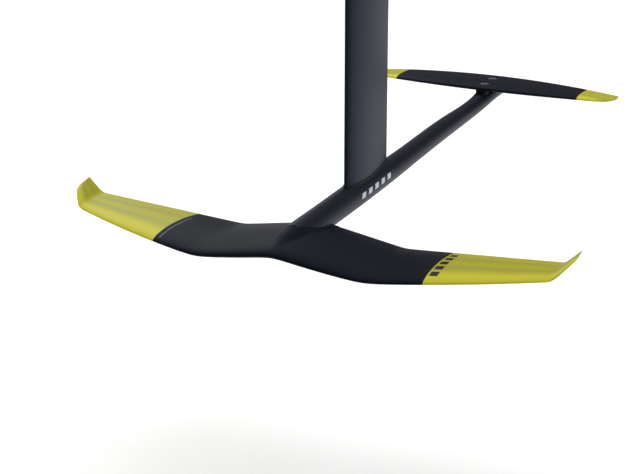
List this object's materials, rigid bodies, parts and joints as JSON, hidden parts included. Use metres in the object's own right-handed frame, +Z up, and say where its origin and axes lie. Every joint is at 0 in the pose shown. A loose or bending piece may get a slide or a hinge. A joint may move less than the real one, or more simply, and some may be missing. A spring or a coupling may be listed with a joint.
{
  "type": "hydrofoil",
  "caption": "Bolted hydrofoil: board plate, tall foil-section mast, slim fuselage, gull front wing with yellow up-turned tips, and a small rear stabiliser.",
  "frame": {"origin": "middle of the board plate's upper face, at the centre of its four slots", "axes": "+Z up towards the board, along the mast; -Y the way the foil travels; +X across the wings"},
  "size_m": [0.5922, 0.72, 0.754],
  "materials": {
    "anodised_aluminium": "hard anodised, dark slate, satin",
    "black_laminate": "fibre laminate painted blue-black, satin",
    "yellow_laminate": "fluorescent yellow lacquer over laminate, semi-gloss",
    "bond_resin": "black bonding resin, sanded flush",
    "carbon_spar": "pultruded carbon strip, matt",
    "stainless_steel": "stainless steel, turned",
    "seal_rubber": "black rubber",
    "foam_core": "closed-cell structural foam, cut",
    "shim_plastic": "black glass-filled nylon, matt"
  },
  "bodies": {
    "root": {"top_plate": "anodised_aluminium", "mast_collar": "anodised_aluminium", "mast_extrusion": "anodised_aluminium", "mast_head_insert": "anodised_aluminium", "mast_foot_insert": "anodised_aluminium", "fuselage": "anodised_aluminium", "wing_root_block": "anodised_aluminium", "front_wing_shell": "black_laminate", "stabiliser_shell": "black_laminate", "front_wing_left_tip": "yellow_laminate", "front_wing_right_tip": "yellow_laminate", "stabiliser_left_tip": "yellow_laminate", "stabiliser_right_tip": "yellow_laminate", "front_wing_left_bond": "bond_resin", "front_wing_right_bond": "bond_resin", "front_wing_spars": "carbon_spar", "collar_screws": "stainless_steel", "mast_head_bolts": "stainless_steel", "mast_foot_bolts": "stainless_steel", "front_wing_bolts": "stainless_steel", "front_wing_bolt_cups": "stainless_steel", "stabiliser_bolts": "stainless_steel", "stabiliser_bolt_cups": "stainless_steel", "wing_thread_inserts": "stainless_steel", "stabiliser_thread_inserts": "stainless_steel", "mast_head_seal": "seal_rubber", "mast_foot_seal": "seal_rubber", "mast_cell_plugs": "seal_rubber", "front_wing_core": "foam_core", "front_wing_left_tip_core": "foam_core", "front_wing_right_tip_core": "foam_core", "stabiliser_core": "foam_core", "stabiliser_shim": "shim_plastic"}
  },
  "joints": []
}
